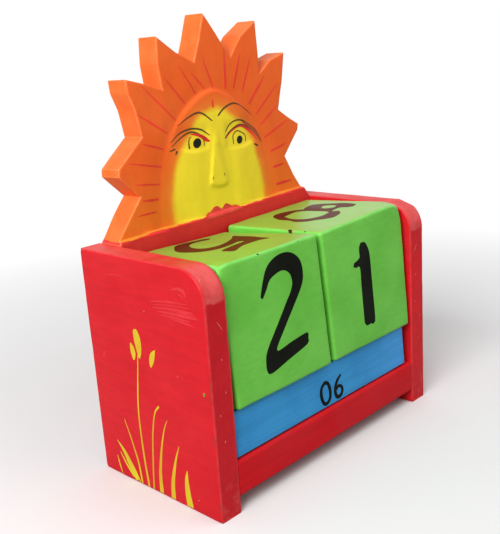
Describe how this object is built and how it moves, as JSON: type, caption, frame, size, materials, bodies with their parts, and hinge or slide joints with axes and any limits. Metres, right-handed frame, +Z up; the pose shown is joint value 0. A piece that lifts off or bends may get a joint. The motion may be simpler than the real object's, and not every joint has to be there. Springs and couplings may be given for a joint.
{
  "type": "wooden desk calendar",
  "caption": "Wooden desk calendar: a frame with a carved sun as its back board, number cubes for the day standing on square month bars, all hand painted.",
  "frame": {"origin": "on the table, midway between the side panels' outer faces and midway between the panels' front edges and the sun board's back", "axes": "+Z up, +Y from the calendar's front to its back, +X to the right as seen from the front"},
  "size_m": [0.1, 0.051, 0.1325],
  "materials": {
    "left_panel_paint": "satin hand-painted red",
    "right_panel_paint": "satin hand-painted red",
    "base_paint": "satin hand-painted red",
    "sun_paint": "satin hand-painted orange, yellow and red",
    "brad_steel": "bare drawn wire",
    "front_bar_paint": "satin hand-painted blue",
    "middle_bar_paint": "satin hand-painted blue",
    "rear_bar_paint": "satin hand-painted blue",
    "left_cube_paint": "satin hand-painted green",
    "right_cube_paint": "satin hand-painted green"
  },
  "bodies": {
    "frame": {"left_side_panel": "left_panel_paint", "right_side_panel": "right_panel_paint", "base_board": "base_paint", "sun_board": "sun_paint", "left_base_brad_front": "brad_steel", "left_base_brad_rear": "brad_steel", "left_sun_brad_low": "brad_steel", "left_sun_brad_high": "brad_steel", "right_base_brad_front": "brad_steel", "right_base_brad_rear": "brad_steel", "right_sun_brad_low": "brad_steel", "right_sun_brad_high": "brad_steel"},
    "front_bar": {"month_bar_front": "front_bar_paint"},
    "middle_bar": {"month_bar_middle": "middle_bar_paint"},
    "rear_bar": {"month_bar_rear": "rear_bar_paint"},
    "left_cube": {"left_number_cube": "left_cube_paint"},
    "right_cube": {"right_number_cube": "right_cube_paint"}
  },
  "joints": [
    {"name": "front_bar_slide", "type": "slide", "parent": "frame", "child": "front_bar", "axis": [0, -0.998, 0.0628], "range_m": [0, 0.0268]},
    {"name": "middle_bar_slide", "type": "slide", "parent": "frame", "child": "middle_bar", "axis": [0, -0.998, 0.0628], "range_m": [0, 0.0134]},
    {"name": "rear_bar_slide", "type": "slide", "parent": "frame", "child": "rear_bar", "axis": [0, -0.998, 0.0628], "range_m": [0, 0.0134]},
    {"name": "left_cube_lift", "type": "slide", "parent": "frame", "child": "left_cube", "axis": [0, -0.1045, 0.9945], "range_m": [0, 0.042]},
    {"name": "right_cube_lift", "type": "slide", "parent": "frame", "child": "right_cube", "axis": [0, -0.1045, 0.9945], "range_m": [0, 0.042]}
  ],
  "couplings": [
    {"joint": "middle_bar_slide", "follows": "front_bar_slide", "ratio": 0.5},
    {"joint": "rear_bar_slide", "follows": "front_bar_slide", "ratio": 0.5}
  ]
}
